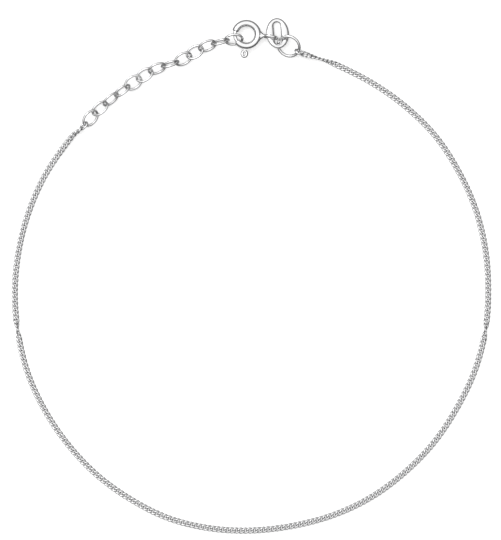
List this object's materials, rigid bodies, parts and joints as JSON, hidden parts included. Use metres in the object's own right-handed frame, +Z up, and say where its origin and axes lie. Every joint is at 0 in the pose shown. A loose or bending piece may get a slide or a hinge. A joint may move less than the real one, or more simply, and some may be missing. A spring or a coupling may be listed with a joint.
{
  "type": "chain anklet",
  "caption": "Fine curb-chain anklet closed in a loop, with a spring ring clasp hooked on a row of oval extender links, an oval tag ring and a jump ring.",
  "frame": {"origin": "on the surface that the anklet lies on, under the middle of its bounding box", "axes": "+Z up from the surface, +Y across the loop towards the clasp, +X to the right as seen from above"},
  "size_m": [0.0814, 0.0874, 0.0025],
  "materials": {
    "chain_silver": "polished silver curb links, a little softer than the clasp",
    "end_link_silver": "polished silver wire",
    "extender_silver": "polished silver wire",
    "spring_ring_silver": "polished silver tube",
    "bolt_silver": "polished silver wire and stamped paddle",
    "tag_silver": "polished silver plate with round edges, bare of any stamp",
    "jump_ring_silver": "polished silver wire"
  },
  "bodies": {
    "anklet": {"curb_chain": "chain_silver", "end_link_clasp": "end_link_silver", "end_link_extender": "end_link_silver", "extender_link_01": "extender_silver", "extender_link_02": "extender_silver", "extender_link_03": "extender_silver", "extender_link_04": "extender_silver", "extender_link_05": "extender_silver", "extender_link_06": "extender_silver", "extender_link_07": "extender_silver", "extender_link_08": "extender_silver", "extender_link_09": "extender_silver", "extender_link_10": "extender_silver", "extender_link_11": "extender_silver", "extender_link_12": "extender_silver", "extender_link_13": "extender_silver", "spring_ring": "spring_ring_silver", "tag_ring": "tag_silver", "jump_ring": "jump_ring_silver"},
    "bolt": {"spring_ring_bolt": "bolt_silver"}
  },
  "joints": [
    {"name": "bolt_slide", "type": "hinge", "parent": "anklet", "child": "bolt", "pos_m": [-0.00086, 0.0408, 0.00111], "axis": [0.0182, 0.1293, 0.9914], "range_deg": [0, 58], "stiffness_Nm_per_rad": 0.00001, "springref_deg": -17.19}
  ]
}
